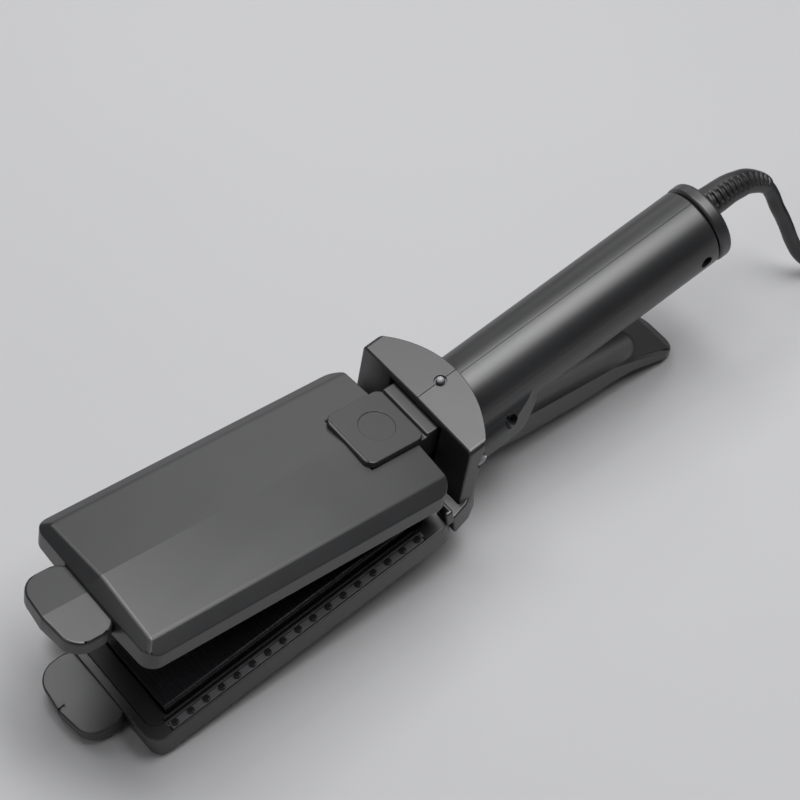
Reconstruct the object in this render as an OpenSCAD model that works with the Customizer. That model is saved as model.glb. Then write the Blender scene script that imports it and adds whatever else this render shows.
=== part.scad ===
// Hair straightener, resting half open on a flat surface, with its mains cord coiled behind it.
// The jaw tips point along -X, the round handle along +X and +Z is up. It stands on two feet
// under the lower jaw's tip and on the end of its squeeze lever, so the handle rises to its tail.
// Squeezing the lever up to the handle turns it about one cross pin and closes the upper jaw.
// Shapes are drawn in the handle's own frame: x = 0 at the top of the collar's front, z = 0 on the
// handle's axis. place() then leans that frame to the rest pose on the surface.

/* [Jaws] */
// Length of the jaws from rear wall to tip, without the finger tabs
jaw_len = 136; // [110:1:150]
// Width across the lower jaw's side walls
jaw_w = 69.4; // [64:0.2:80]
// Gap between the collar's front face and the lower jaw's rear wall
jaw_gap = 12.7; // [12:0.1:16]
// How far the upper jaw's tip stands back from the lower jaw's tip
tip_setback = 3.7; // [2:0.1:6]
// Wall of every jaw shell
jaw_wall = 2.2; // [1.6:0.1:3]
// Width of the finger tab on each jaw's tip
tab_w = 34.8; // [28:0.2:40]
// Length of the lower jaw's finger tab
tab_len = 16.4; // [10:0.2:20]
// Height of the centre ridge over the top's side edges
ridge_h = 2.8; // [0.6:0.1:3.2]
// Number of guide nubs along each side of the lower jaw
nub_count = 17; // [9:1:19]
// Diameter of one guide nub
nub_d = 2.6; // [1.8:0.1:3]

/* [Heating plates] */
// Width of each heating plate
plate_w = 54.4; // [46:0.2:56]
// Distance from the lower jaw's tip to the front end of the heating plates
plate_tip_gap = 11; // [9:0.5:14]
// Distance from the rear end of the heating plates to the lower jaw's rear wall
plate_rear_gap = 17; // [15:0.5:20]
// Thickness of each heating plate
plate_t = 2.6; // [2:0.1:3.5]
// How far each plate stands proud of its jaw's edge
plate_proud = 3.7; // [3:0.1:4.5]

/* [Handle] */
// Diameter of the round handle
handle_d = 32; // [30:0.5:34]
// Length of the handle from the collar's front face to the end cap's rear face
handle_len = 141; // [128:1:165]
// Wall of the handle shells
handle_wall = 2.4; // [2:0.1:3]
// Length of the end cap that shows behind the groove
cap_len = 5.8; // [4:0.1:8]
// Width across the flared skirt under the handle's root
skirt_w = 41.2; // [39:0.2:44]
// How far behind the collar's front face the skirt runs out into the tube
skirt_len = 46; // [42:1:50]

/* [Collar] */
// Width of the collar across its flat sides
collar_w = 61.6; // [60:0.2:66]
// Depth of the collar's top from front to rear on the centreline
collar_depth = 18.8; // [17.5:0.1:20]
// Height of the collar's top over the handle's axis
collar_top = 19.85; // [19:0.1:22]
// Lean of the collar's front and rear faces from upright, in degrees
collar_rake = 15; // [10:1:18]
// Diameter of the indicator lamp
lamp_d = 3.2; // [2.6:0.1:4]

/* [Squeeze lever and hinge] */
// Opening angle of the jaws at rest, in degrees
open_angle = 15.5; // [11:0.5:16]
// Width of the squeeze lever
lever_w = 25.8; // [22:0.2:26.4]
// Length of the lever from the collar's front face to its rounded end
lever_len = 131.5; // [118:0.5:136]
// Diameter of the hinge pin
pin_d = 4; // [3:0.1:5]
// Wire of the return spring
spring_wire = 1; // [0.8:0.1:1.2]
// Number of curls in the return spring
spring_curls = 4; // [3:1:4]

/* [Cord and plug] */
// Diameter of the mains cord
cord_d = 6; // [5:0.1:6.2]
// Middle radius of the coil's outermost turn
coil_outer_r = 37.5; // [36:0.5:44]
// Number of ribs along the strain relief
relief_ribs = 11; // [6:1:12]
// Diameter of the strain relief at its root
relief_d = 12.6; // [11:0.1:12.7]

/* [Hidden] */
$fn = 64;
fit_gap = 0.1;
pin_fit = 0.05;
over = 1;

jaw_rear = -jaw_gap;
jaw_front = jaw_rear - jaw_len;
upper_front = jaw_front + tip_setback;
upper_rear = jaw_rear + 0.9;
mate_z = -4.5;
lower_rim_z = mate_z - plate_proud;
upper_rim_z = mate_z + plate_proud;
lower_bottom_z = -20.5;
lower_half = jaw_w / 2;
upper_half = lower_half - 0.4;
roof_edge_z = 10.4;
shoulder_z = 6.5;
roof_half = lower_half - 5.7;
upper_tab_len = 18.7;
front_crease = 1;
tip_nose = 4.3;
tip_pitch = 0.8;
jaw_corner_r = 6;
rim_ledge_w = 5.4;
rim_ledge_t = 3.7;
cavity_half = lower_half - rim_ledge_w;

carrier_wall = 1.6;
carrier_depth = 4.8;
carrier_floor = 1.6;
fence_h = 1.2;
plate_front = jaw_front + plate_tip_gap;
plate_rear = jaw_rear - plate_rear_gap;
plate_len = plate_rear - plate_front;
plate_half = plate_w / 2;
heater_w = 24;
heater_t = 3;
clamp_t = 0.8;
heater_top = mate_z - plate_t;
clamp_top = heater_top - heater_t;
tray_top = lower_rim_z - 0.2;
carrier_floor_top = tray_top - carrier_depth + carrier_floor;
carrier_screw_x = [plate_front + 3.4, plate_rear - 3.4];
carrier_screw_y = 20;

comb_half_w = 1.5;
comb_y = lower_half - 2.6;
comb_front = jaw_front + 9.3;
comb_rear = jaw_rear - 13.3;
comb_t = 2.5;
nub_h = 1.2;
nub_pitch = (comb_rear - comb_front - 4) / (nub_count - 1);

handle_r = handle_d / 2;
bore_r = handle_r - handle_wall;
skirt_r = 9;
skirt_y = skirt_w / 2 - skirt_r;
skirt_z = -7;
skirt_bottom = -16;
skirt_corner_r = 6;
cove_r = 14;
arc_back = 29.6;
arc_r = arc_back + collar_depth * cos(collar_rake);
collar_bottom = -19.5;
slot_half = lever_w / 2 + 1.3;
ear_t = 2.4;
chin_top = lower_rim_z - 0.1;
shell_rear = handle_len - cap_len - 0.5;
cap_front = handle_len - cap_len;
cap_bore_r = bore_r - 2.2;

pin_x = 5.4;
pin_z = 7.6;
hub_r = 8;
hub_pocket_r = 6;
spring_r = 4.2;
spring_seat_y = 8.3;
pin_end = 27.6;
head_t = 1.8;
head_d = pin_d + 1.2;

lever_half = lever_w / 2;
lever_wall = 2.2;
lever_foot_z = -25.8;
tongue_front = -33.6;
tongue_top = 12.1;
tile_top = 14.6;
tile_half = 13.4;

foot_x = jaw_front + 5.8;
foot_y = lower_half - 4.6;
foot_d = 6;
foot_h = 1.6;

screw_front_x = 28;
screw_front_z = -3;
screw_rear_x = shell_rear - 6.7;
boss_r = 3.4;
board_t = 1.6;
board_half = 10.8;
lamp_x = 11.3;
jaw_screw_x = jaw_rear + 6.5;
jaw_screw_y = 19.5;
tongue_screw_x = [-28, -18];

relief_y = 3.4;
relief_z = 2.5;
coil_layers = 4;
turns_per_layer = 2;
coil_tail_turn = 1 / 6;
turn_step = cord_d + 0.7;
tie_t = 0.6;
tie_w = 6;
plug_len = 37;
plug_w = 35.3;
plug_t = 13.7;
plug_pin_len = 19;
plug_pin_gap = 18.6;

// The rest pose: the lean at which the feet and the opened lever's end share one level.
function turned(p, a) = [
  pin_x + (p[0] - pin_x) * cos(a) + (p[1] - pin_z) * sin(a),
  pin_z - (p[0] - pin_x) * sin(a) + (p[1] - pin_z) * cos(a)
];
lever_tip = turned([lever_len, lever_foot_z], open_angle);
foot_tip = [foot_x - foot_d / 2, lower_bottom_z - foot_h];
rest_tilt = atan2(foot_tip[1] - lever_tip[1], lever_tip[0] - foot_tip[0]);
rest_lift = -(foot_tip[0] * sin(rest_tilt) + foot_tip[1] * cos(rest_tilt));
rest_shift = -5.8 + (jaw_len - 136) / 2 - (handle_len - 141) / 2;

// A point of the handle's frame in the resting frame.
function placed(p) = [
  p[0] * cos(rest_tilt) - p[2] * sin(rest_tilt) + rest_shift,
  p[1],
  p[0] * sin(rest_tilt) + p[2] * cos(rest_tilt) + rest_lift
];

// The cord's way from the end cap to its coil: steps along X and Y from the cap's rear face, and
// the height as a share of the cap's height over the cord lying on the surface.
cord_route = [
  [0, 0, 1], [7, -0.5, 1.015], [14.5, -0.5, 1.025], [19.5, -1, 1.025], [24.5, -1.5, 1.01],
  [31, -3, 0.95], [34.5, -4, 0.885], [37.5, -5, 0.795], [40, -7, 0.67], [43, -8.5, 0.555],
  [45.5, -10.5, 0.435], [48, -12, 0.315], [51.5, -14.5, 0.18], [56.5, -17.5, 0.075],
  [64, -22, 0.015], [72.5, -27, 0], [84, -33.5, 0], [96, -40.5, 0.012], [108, -47.5, 0.014]
];
relief_points = 7;

// The cord's way from the top of the coil to the plug: steps along its heading, and the height
// as a share of the drop to the plug's middle.
tail_route = [
  [0, 1], [6, 1], [12, 0.96], [20, 0.8], [28, 0.5], [36, 0.2], [44, 0.04], [51, 0], [57, 0]
];

exit_point = placed([handle_len, relief_y, relief_z]);
lying_z = cord_d / 2;
function route_point(p) = [
  exit_point[0] + p[0],
  exit_point[1] + p[1],
  max(lying_z, lying_z + p[2] * (exit_point[2] - lying_z))
];
route = [for (p = cord_route) route_point(p)];
route_end = route[len(route) - 1];
route_step = route_end - route[len(route) - 2];
coil_heading = atan2(route_step[1], route_step[0]);
coil_start = coil_heading - 90;
coil_centre = [
  route_end[0] - coil_outer_r * cos(coil_start),
  route_end[1] - coil_outer_r * sin(coil_start)
];
coil_z = route_end[2];
coil_turns = coil_layers * turns_per_layer + coil_tail_turn;

// Radius and height of the coil after u turns: it winds in, then out, and climbs a layer in the
// half turn where it reverses.
function coil_layer(u) = min(coil_layers - 1, floor(u / turns_per_layer));
function coil_phase(u) = u - turns_per_layer * coil_layer(u);
function coil_r(u) = coil_layer(u) % 2 == 0
  ? coil_outer_r - turn_step * coil_phase(u)
  : coil_outer_r - turn_step * (turns_per_layer - coil_phase(u));
function climb(u, k) = max(0, min(1, 0.5 + 2 * (u - turns_per_layer * k)));
function eased(t) = t * t * (3 - 2 * t);
function coil_h(u) = turn_step * (eased(climb(u, 1)) + eased(climb(u, 2)) + eased(climb(u, 3)));
function coil_point(u) = [
  coil_centre[0] + coil_r(u) * cos(coil_start + 360 * u),
  coil_centre[1] + coil_r(u) * sin(coil_start + 360 * u),
  coil_z + coil_h(u)
];
rings_per_turn = 24;
coil_rings = ceil(coil_turns * rings_per_turn);
turned_out = coil_point(coil_turns);
tail_heading = coil_start + 360 * coil_turns + 90;
coil_last = turned_out + cord_d * [cos(tail_heading), sin(tail_heading), 0];
coil_path = concat(
  [route_end, route_end + cord_d * unit(route_step)],
  [for (i = [3 : coil_rings]) coil_point(i * coil_turns / coil_rings)],
  [coil_last]
);
plug_z = plug_t / 2;
tail = [for (p = tail_route) [
  coil_last[0] + p[0] * cos(tail_heading),
  coil_last[1] + p[0] * sin(tail_heading),
  plug_z + p[1] * (coil_last[2] - plug_z)
]];
tail_end = tail[len(tail) - 1];

coil_gap = min([for (i = [0 : len(coil_path) - 1]) for (j = [i + 12 : len(coil_path) - 1])
  if (j < len(coil_path)) norm(coil_path[i] - coil_path[j])]) - cord_d;
function path_length(p) = len(p) < 2 ? 0 : sum_of([for (i = [1 : len(p) - 1]) norm(p[i] - p[i - 1])]);
function sum_of(v, i = 0) = i >= len(v) ? 0 : v[i] + sum_of(v, i + 1);
echo(coil_gap = coil_gap);
echo(cord_length = path_length(route) + path_length(coil_path) + path_length(tail));
echo(rest_tilt = rest_tilt, rest_lift = rest_lift);

// Sweeping a round section along a path of points.
function unit(v) = v / norm(v);
function path_dir(p, i) = unit(p[min(i + 1, len(p) - 1)] - p[max(i - 1, 0)]);
function ring(centre, dir, r, sides, side_ref) =
  let (s = unit(cross(dir, side_ref)), u = cross(s, dir))
  [for (k = [0 : sides - 1]) centre + r * (cos(360 * k / sides) * s + sin(360 * k / sides) * u)];
function quad_faces(a, b, c, d) = [[a, b, c], [a, c, d]];
module swept(path, radii, sides, side_ref, first_dir = undef, last_dir = undef) {
  last = len(path) - 1;
  function dir_at(i) =
    i == 0 && !is_undef(first_dir) ? first_dir
    : i == last && !is_undef(last_dir) ? last_dir
    : path_dir(path, i);
  points = [for (i = [0 : last]) for (q = ring(path[i], dir_at(i), radii[i], sides, side_ref)) q];
  walls = [for (i = [0 : last - 1]) for (k = [0 : sides - 1]) for (f = quad_faces(
    i * sides + k,
    i * sides + (k + 1) % sides,
    (i + 1) * sides + (k + 1) % sides,
    (i + 1) * sides + k
  )) f];
  start_cap = [for (k = [1 : sides - 2]) [0, k + 1, k]];
  end_cap = [for (k = [1 : sides - 2]) [last * sides, last * sides + k, last * sides + k + 1]];
  polyhedron(points = points, faces = concat(start_cap, walls, end_cap), convexity = 10);
}
// Points between a route's own, on a smooth curve through them.
function spline_at(p, i, t) =
  let (
    a = p[max(i - 1, 0)],
    b = p[i],
    c = p[min(i + 1, len(p) - 1)],
    d = p[min(i + 2, len(p) - 1)]
  )
  0.5 * (2 * b + (c - a) * t + (2 * a - 5 * b + 4 * c - d) * t * t + (3 * b - a - 3 * c + d) * t * t * t);

// Placing and drawing helpers.
module place() {
  translate([rest_shift, 0, rest_lift]) rotate([0, -rest_tilt, 0]) children();
}
module opened() {
  translate([pin_x, 0, pin_z]) rotate([0, open_angle, 0]) translate([-pin_x, 0, -pin_z]) children();
}
module along_x(x0, x1) {
  translate([x0, 0, 0]) rotate([90, 0, 90]) linear_extrude(x1 - x0) children();
}
module along_y(y0, y1) {
  translate([0, y1, 0]) rotate([90, 0, 0]) linear_extrude(y1 - y0) children();
}
module rounded_2d(x0, x1, half, r) {
  translate([x0 + r, -half]) square([x1 - x0 - 2 * r, 2 * half]);
  translate([x0, r - half]) square([x1 - x0, 2 * (half - r)]);
  for (x = [x0 + r, x1 - r]) {
    for (y = [r - half, half - r]) {
      translate([x, y]) circle(r = r);
    }
  }
}
module both_sides() {
  children();
  mirror([0, 1, 0]) children();
}
module mirrored_jaw() {
  translate([0, 0, 2 * mate_z]) mirror([0, 0, 1]) children();
}
// A bar along Y through (x, z).
module cross_bar(x, z, r, y0, y1) {
  translate([x, y1, z]) rotate([90, 0, 0]) cylinder(r = r, h = y1 - y0);
}

// Plan outline of a jaw, with a slight crease at the middle of its tip.
module jaw_outline(x_front, x_rear, half, r) {
  rounded_2d(x_front, x_rear, half, r);
  polygon([[x_front, r - half], [x_front - front_crease, 0], [x_front, half - r], [x_front + 1, 0]]);
}

// Upper jaw form: a straight wall, a sloped shoulder all round the tip and sides, a ridged roof.
module upper_form(inset, z0) {
  half = upper_half - inset;
  roof = roof_half - inset;
  front = upper_front + inset;
  rear = upper_rear - inset;
  intersection() {
    translate([0, 0, z0]) linear_extrude(40) jaw_outline(front, rear, half, jaw_corner_r - inset);
    along_x(front - 5, rear + 1) polygon([
      [-half, z0 - 1],
      [half, z0 - 1],
      [half, shoulder_z - inset],
      [roof, roof_edge_z - inset],
      [0, roof_edge_z + ridge_h - inset],
      [-roof, roof_edge_z - inset],
      [-half, shoulder_z - inset]
    ]);
    tip_slope(front, z0, inset, 1);
    tip_slope(front, z0, inset, -1);
  }
}
// One half of the tip's slope: its start stands furthest forward at the centre and turns back
// towards the side.
module tip_slope(front, z0, inset, side) {
  turn = atan((tip_nose - front_crease) / roof_half);
  start_z = shoulder_z - inset;
  translate([front - tip_nose, 0, 0]) rotate([0, 0, -side * turn]) along_y(-60, 60) polygon([
    [0, z0 - 1],
    [0, start_z],
    [14, start_z + 14 * tip_pitch],
    [jaw_len + 40, start_z + 14 * tip_pitch],
    [jaw_len + 40, z0 - 1]
  ]);
}

module upper_jaw_cover() {
  color("#2b2c2f") difference() {
    union() {
      difference() {
        upper_form(0, upper_rim_z);
        upper_form(jaw_wall, upper_rim_z - over);
      }
      upper_tab();
      intersection() {
        upper_form(0, upper_rim_z);
        union() {
          for (i = [1 : 3]) {
            translate([upper_front - 10 + 30 * i, -upper_half, 5.4]) cube([1.4, 2 * upper_half, 10]);
          }
          for (x = carrier_screw_x) {
            for (y = [-carrier_screw_y, carrier_screw_y]) {
              translate([x, y, upper_rim_z + 0.2 + carrier_depth]) cylinder(r = 3, h = 12);
            }
          }
          translate([tongue_front - 2, -lever_half - 2, 5.4]) cube([24, lever_w + 4, 10]);
        }
      }
    }
    for (x = carrier_screw_x) {
      for (y = [-carrier_screw_y, carrier_screw_y]) {
        translate([x, y, 0]) cylinder(r = 1.3, h = 8.6);
      }
    }
    translate([tongue_front - fit_gap, -lever_half - fit_gap, 9.1]) cube([30, lever_w + 2 * fit_gap, 10]);
    translate([0, 0, tongue_top - 0.05]) linear_extrude(6) rounded_2d(-35.3, 0, tile_half + 0.1, 4.1);
    for (x = tongue_screw_x) {
      translate([x, 0, 0]) cylinder(r = 1.3, h = 12);
    }
  }
}

// Finger tab on the upper jaw's tip, hollow from below.
module upper_tab() {
  front = upper_front - upper_tab_len;
  half = tab_w / 2 - 0.4;
  difference() {
    intersection() {
      translate([0, 0, 0.2]) linear_extrude(9) jaw_outline(front, upper_front + 1.8, half, 8.5);
      along_x(front - 2, upper_front + 2) polygon([
        [-half, 0], [half, 0], [half, 6], [half - 0.8, 6.5], [0, 7.7], [0.8 - half, 6.5], [-half, 6]
      ]);
    }
    translate([0, 0, -over]) linear_extrude(5.4) difference() {
      rounded_2d(front + 2, upper_front - 0.6, half - 2, 6.5);
      for (y = [-6, 6]) {
        translate([-200, y - 0.7]) square([100, 1.4]);
      }
    }
  }
}

// Tray that carries a heating plate, drawn for the lower jaw and mirrored for the upper one.
module carrier(x0, x1, half, fence) {
  floor_z = tray_top - carrier_depth;
  difference() {
    union() {
      translate([0, 0, floor_z]) linear_extrude(carrier_depth) rounded_2d(x0, x1, half, 4.6);
      if (fence) {
        both_sides() {
          translate([comb_front - 0.5, half - 1, floor_z]) {
            cube([comb_rear - comb_front, 1, carrier_depth + fence_h + 0.2]);
          }
        }
      }
    }
    translate([0, 0, floor_z + carrier_floor]) linear_extrude(30) {
      rounded_2d(plate_front - 0.4, plate_rear + 0.4, plate_half + 0.4, 0.8);
    }
    for (x = [plate_front + 12, plate_rear - 42]) {
      translate([x, -9, floor_z - over]) cube([30, 18, 6]);
    }
    for (x = carrier_screw_x) {
      for (y = [-carrier_screw_y, carrier_screw_y]) {
        translate([x, y, floor_z - over]) cylinder(r = 1.6, h = 12);
      }
    }
  }
}

module lower_plate_carrier() {
  color("#161719") carrier(jaw_front + 3.4, jaw_rear - 9.3, cavity_half - 0.2, true);
}

module upper_plate_carrier() {
  color("#161719") mirrored_jaw() {
    carrier(upper_front + jaw_wall + 0.2, upper_rear - jaw_wall - 0.2, upper_half - jaw_wall - 0.2, false);
  }
}

// Heating plate: a flat face with rounded long edges over two side skirts.
module plate() {
  edge_r = 1.5;
  along_x(plate_front, plate_rear) difference() {
    union() {
      translate([-plate_half, mate_z - 5]) square([plate_w, 5 - edge_r]);
      translate([edge_r - plate_half, mate_z - edge_r - over]) square([plate_w - 2 * edge_r, edge_r + over]);
      for (y = [edge_r - plate_half, plate_half - edge_r]) {
        translate([y, mate_z - edge_r]) circle(r = edge_r);
      }
    }
    translate([2 - plate_half, mate_z - 9]) square([plate_w - 4, 9 - plate_t]);
  }
}
module lower_plate() {
  color("#3a3b3d") plate();
}
module upper_plate() {
  color("#3a3b3d") mirrored_jaw() plate();
}

// Ceramic heater under its plate, and the sprung clamp that presses it up from the tray's floor.
module heater() {
  translate([plate_front + 8, -heater_w / 2, heater_top - heater_t]) {
    cube([plate_len - 16, heater_w, heater_t]);
  }
}
module clamp() {
  difference() {
    union() {
      translate([plate_front + 6, -10, clamp_top - clamp_t]) cube([plate_len - 12, 20, clamp_t]);
      for (x = [plate_front + 6, plate_rear - 12]) {
        for (y = [-16, 10]) {
          translate([x, y, clamp_top - clamp_t]) cube([6, 6, clamp_t]);
          translate([x, y < 0 ? y : y + 6 - clamp_t, carrier_floor_top]) {
            cube([6, clamp_t, clamp_top - carrier_floor_top]);
          }
        }
      }
    }
    for (x = [plate_front + 20, plate_rear - 40]) {
      translate([x, -4, clamp_top - 3]) cube([20, 8, 5]);
    }
  }
}
module lower_heater() {
  color("#e8e4d8") heater();
}
module upper_heater() {
  color("#e8e4d8") mirrored_jaw() heater();
}
module lower_heater_clamp() {
  color("#b9bcc0") clamp();
}
module upper_heater_clamp() {
  color("#b9bcc0") mirrored_jaw() clamp();
}
module thermal_fuse() {
  fuse_r = 1.6;
  color("#c9b26a") translate([plate_rear - 40, 18.6, heater_top - fuse_r]) rotate([0, 90, 0]) {
    cylinder(r = fuse_r, h = 11);
    translate([0, 0, -5]) cylinder(r = 0.5, h = 21);
  }
}

// Screws that hold each tray to its jaw shell.
module tray_screws() {
  for (x = carrier_screw_x) {
    for (y = [-carrier_screw_y, carrier_screw_y]) {
      translate([x, y, carrier_floor_top]) difference() {
        union() {
          cylinder(r = 2.4, h = 1.6);
          translate([0, 0, -6]) cylinder(r = 1.2, h = 7);
        }
        for (a = [0, 90]) {
          rotate([0, 0, a]) translate([-1.5, -0.3, 1]) cube([3, 0.6, 2]);
        }
      }
    }
  }
}
module lower_tray_screws() {
  color("#8d9094") tray_screws();
}
module upper_tray_screws() {
  color("#8d9094") mirrored_jaw() tray_screws();
}

// Lower jaw: an open tray with a ledge all round for the comb strips and the plate's carrier.
module lower_outline(inset) {
  rounded_2d(jaw_front + inset, jaw_rear - inset, lower_half - inset, jaw_corner_r - min(inset, 3));
}
module lower_jaw_base() {
  tray_under = tray_top - carrier_depth;
  color("#26272a") difference() {
    union() {
      difference() {
        union() {
          intersection() {
            translate([0, 0, lower_bottom_z]) linear_extrude(lower_rim_z - lower_bottom_z) lower_outline(0);
            along_x(jaw_front - 1, jaw_rear + 1) polygon([
              [1.6 - lower_half, lower_bottom_z],
              [lower_half - 1.6, lower_bottom_z],
              [lower_half, lower_bottom_z + 1.6],
              [lower_half, 0],
              [-lower_half, 0],
              [-lower_half, lower_bottom_z + 1.6]
            ]);
          }
          lower_tab();
        }
        translate([0, 0, lower_bottom_z + jaw_wall]) {
          linear_extrude(lower_rim_z - rim_ledge_t - lower_bottom_z - jaw_wall) lower_outline(jaw_wall);
        }
        translate([0, 0, lower_bottom_z + jaw_wall]) linear_extrude(40) {
          rounded_2d(jaw_front + 3.2, jaw_rear - 9.1, cavity_half, 4.8);
        }
      }
      intersection() {
        translate([0, 0, lower_bottom_z + 1]) {
          linear_extrude(tray_under - lower_bottom_z - 1) lower_outline(1);
        }
        union() {
          for (i = [1 : 3]) {
            translate([jaw_front + 4.7 + 32 * i, -50, -30]) cube([1.4, 100, 30]);
          }
          for (y = [-12.7, 11.3]) {
            translate([-150, y, -30]) cube([140, 1.4, 30]);
          }
          for (x = carrier_screw_x) {
            for (y = [-carrier_screw_y, carrier_screw_y]) {
              translate([x, y, -30]) cylinder(r = 3.2, h = 30);
            }
          }
        }
      }
      both_sides() {
        translate([jaw_rear - 3.3, lower_half - 6.7, lower_rim_z - 1]) difference() {
          cube([3.3, 6.7, upper_rim_z - 0.5 - lower_rim_z + 1]);
          translate([-1, -1, 2]) cube([2.5, 5.9, 20]);
        }
        translate([jaw_rear - 0.5, 15, -17]) cube([11.5, 9, 6.2]);
      }
    }
    for (s = [-1, 1]) {
      translate([comb_front, s * comb_y - comb_half_w - 0.05, lower_rim_z - comb_t - 0.05]) {
        cube([comb_rear - comb_front, 2 * comb_half_w + 0.1, 10]);
      }
      translate([foot_x, s * foot_y, lower_bottom_z - over]) cylinder(d = foot_d + 0.1, h = 1.8);
      translate([jaw_screw_x, s * jaw_screw_y, -30]) cylinder(r = 1.3, h = 21);
    }
    for (x = carrier_screw_x) {
      for (y = [-carrier_screw_y, carrier_screw_y]) {
        translate([x, y, lower_bottom_z + 1.6]) cylinder(r = 1.3, h = 20);
      }
    }
  }
}
module lower_tab() {
  front = jaw_front - tab_len;
  half = tab_w / 2;
  top = lower_rim_z - 2.3;
  difference() {
    translate([0, 0, top - 6.5]) linear_extrude(6.5) jaw_outline(front, jaw_front + 4, half, 9);
    translate([0, 0, top - 8]) linear_extrude(5.8) difference() {
      rounded_2d(front + 2, jaw_front + 0.5, half - 2, 7);
      for (y = [-6, 6]) {
        translate([-200, y - 0.7]) square([100, 1.4]);
      }
    }
    translate([front - 2, -0.4, top - 0.6]) cube([4, 0.8, 2]);
    translate([front - 2, -0.4, top - 8]) cube([1.4, 0.8, 10]);
  }
}

// Guide strip let into the lower jaw's rim, with a row of round-headed nubs.
module comb_strip() {
  translate([comb_front, comb_y - comb_half_w, lower_rim_z - comb_t]) {
    cube([comb_rear - comb_front, 2 * comb_half_w, comb_t]);
  }
  for (i = [0 : nub_count - 1]) {
    translate([comb_front + 2 + i * nub_pitch, comb_y, lower_rim_z - 1]) {
      cylinder(d = nub_d, h = 1 + nub_h - nub_d / 4, $fn = 24);
      translate([0, 0, 1 + nub_h - nub_d / 4]) intersection() {
        sphere(d = nub_d, $fn = 24);
        translate([-2, -2, 0]) cube([4, 4, nub_d / 4]);
      }
    }
  }
}
module comb_strip_far() {
  color("#303134") comb_strip();
}
module comb_strip_near() {
  color("#303134") mirror([0, 1, 0]) comb_strip();
}

module rest_feet() {
  color("#101112") for (s = [-1, 1]) {
    translate([foot_x, s * foot_y, lower_bottom_z - foot_h]) cylinder(d = foot_d, h = foot_h + 0.8);
  }
}

// Handle form without its hollows: tube, collar, chin under the lower jaw's root, flared skirt.
module collar_form(inset) {
  intersection() {
    translate([0, 0, collar_top]) rotate([0, collar_rake, 0]) translate([0, 0, -60]) linear_extrude(70) {
      intersection() {
        translate([-arc_back, 0]) circle(r = arc_r - inset, $fn = 160);
        translate([inset, inset - collar_w / 2]) square([60, collar_w - 2 * inset]);
      }
    }
    along_x(-12, 40) polygon([
      [inset - collar_w / 2, collar_bottom + inset],
      [collar_w / 2 - inset, collar_bottom + inset],
      [collar_w / 2 - inset, collar_top - 1.2 - inset],
      [collar_w / 2 - 1.2 - inset, collar_top - inset],
      [0, collar_top + 0.6 - inset],
      [inset + 1.2 - collar_w / 2, collar_top - inset],
      [inset - collar_w / 2, collar_top - 1.2 - inset]
    ]);
  }
}
module chin_form(inset) {
  front = jaw_rear + 0.1;
  translate([0, 0, collar_bottom + inset]) linear_extrude(chin_top - collar_bottom - 2 * inset) {
    polygon([
      [front - (inset > 0 ? 5 : 0), inset - lower_half + 0.8],
      [-5, inset - 32.4],
      [0, inset - 29.6],
      [4, inset - 25],
      [4, 25 - inset],
      [0, 29.6 - inset],
      [-5, 32.4 - inset],
      [front - (inset > 0 ? 5 : 0), lower_half - 0.8 - inset]
    ]);
  }
}

// Skirt under the handle's root: round shoulders that a hollow cove carries up into the tube. Its
// underside and its sides run out into the tube towards the tail.
skirt_reach = norm([skirt_y, skirt_z]);
skirt_dir = [skirt_y, skirt_z] / skirt_reach;
cove_out = handle_r + cove_r;
cove_along = (cove_out * cove_out - pow(skirt_r + cove_r, 2) + skirt_reach * skirt_reach) / (2 * skirt_reach);
cove_up = sqrt(cove_out * cove_out - cove_along * cove_along);
cove_centre = cove_along * skirt_dir + cove_up * [-skirt_dir[1], skirt_dir[0]];
module skirt_section() {
  corner_y = skirt_w / 2 - skirt_corner_r;
  corner_z = skirt_bottom + skirt_corner_r;
  for (m = [0, 1]) {
    mirror([m, 0]) {
      translate([skirt_y, skirt_z]) circle(r = skirt_r);
      translate([corner_y, corner_z]) circle(r = skirt_corner_r);
      translate([-1, skirt_bottom]) square([1 + skirt_y, skirt_z + skirt_r - skirt_bottom]);
      translate([-1, skirt_bottom]) square([1 + corner_y, skirt_r]);
      translate([-1, corner_z]) square([1 + skirt_w / 2, skirt_z - corner_z]);
      difference() {
        polygon([[0, 0], [skirt_y, skirt_z], cove_centre]);
        translate(cove_centre) circle(r = cove_r + 0.3, $fn = 96);
      }
    }
  }
}
module skirt_form() {
  plan_r = 60;
  side_r = 25;
  intersection() {
    along_x(2, skirt_len + 2) skirt_section();
    along_y(-50, 50) {
      translate([skirt_len - 20, skirt_bottom + side_r]) circle(r = side_r, $fn = 128);
      translate([-10, skirt_bottom]) square([skirt_len - 10, 40]);
    }
    both_sides() {
      translate([0, 0, -50]) linear_extrude(100) {
        difference() {
          translate([-10, -1]) square([skirt_len + 14, 1 + skirt_w / 2]);
          difference() {
            translate([skirt_len - 28, 0]) square([60, 40]);
            translate([skirt_len - 28, skirt_w / 2 - plan_r]) circle(r = plan_r, $fn = 192);
          }
        }
      }
    }
  }
}

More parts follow.
